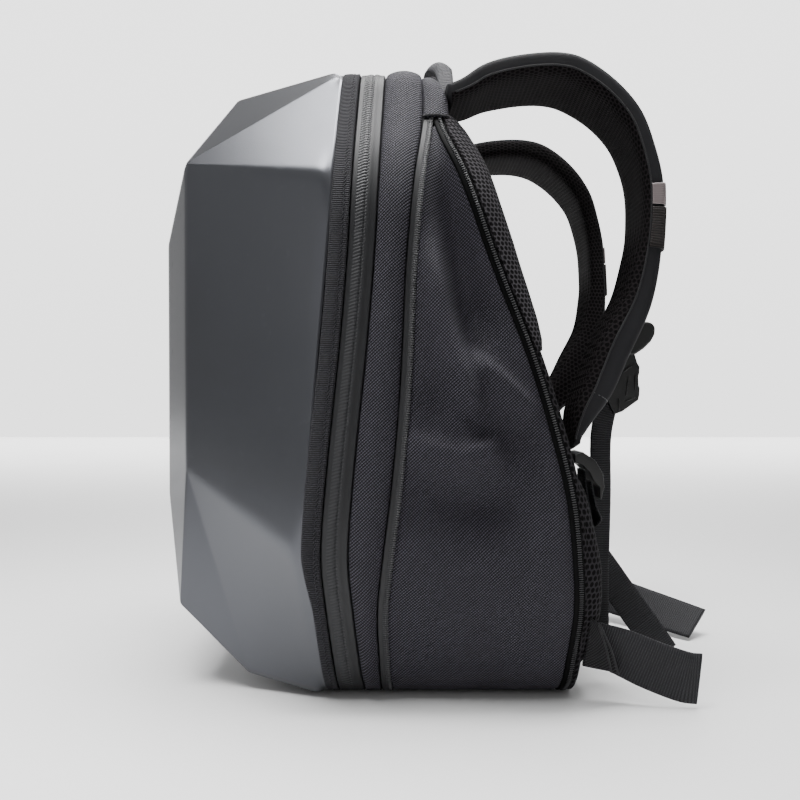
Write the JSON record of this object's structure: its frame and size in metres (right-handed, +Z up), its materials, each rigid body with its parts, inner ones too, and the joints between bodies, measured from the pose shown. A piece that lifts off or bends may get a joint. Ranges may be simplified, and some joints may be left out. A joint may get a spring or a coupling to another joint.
{
  "type": "motorcycle backpack",
  "caption": "Hard-shell motorcycle backpack standing on its base, faceted front shell, expansion gusset unzipped into a wedge, padded back and straps.",
  "frame": {"origin": "middle of the bag's width on the flat bottom of the expansion gusset, on the floor", "axes": "+Z up, +Y from the shell towards the wearer, +X towards the wearer's right"},
  "size_m": [0.3172, 0.4913, 0.5229],
  "materials": {
    "shell": "satin dark grey moulded shell",
    "binding": "ribbed knit binding",
    "coated_tape": "smooth coated zip tape",
    "twill": "blue-black twill",
    "spacer_mesh": "open spacer mesh over foam",
    "strap_cloth": "smooth cloth",
    "webbing": "woven webbing",
    "hardware": "black moulded plastic",
    "reflective": "light grey reflective tape"
  },
  "bodies": {
    "root": {"front_shell": "shell", "shell_binding": "binding", "main_zip_tape": "coated_tape", "expansion_zip_front": "coated_tape", "expansion_zip_rear": "coated_tape", "gusset_band": "twill", "top_cap": "twill", "expansion_gusset": "twill", "back_panel": "twill", "back_pad_upper": "spacer_mesh", "back_pad_lower": "spacer_mesh", "shoulder_strap_right": "strap_cloth", "shoulder_strap_left": "strap_cloth", "belt_wing_right": "strap_cloth", "belt_wing_left": "strap_cloth", "carry_handle": "webbing", "strap_tape_right": "webbing", "strap_tape_left": "webbing", "adjuster_webbing_right": "webbing", "adjuster_webbing_left": "webbing", "adjuster_tail_right": "webbing", "adjuster_tail_left": "webbing", "sternum_tail_right": "webbing", "belt_webbing_right": "webbing", "belt_webbing_left": "webbing", "sternum_slider_right": "hardware", "sternum_slider_left": "hardware", "sternum_buckle_right": "hardware", "sternum_buckle_left": "hardware", "ladder_lock_right": "hardware", "ladder_lock_left": "hardware", "reflective_tab_right": "reflective", "reflective_tab_left": "reflective"}
  },
  "joints": []
}
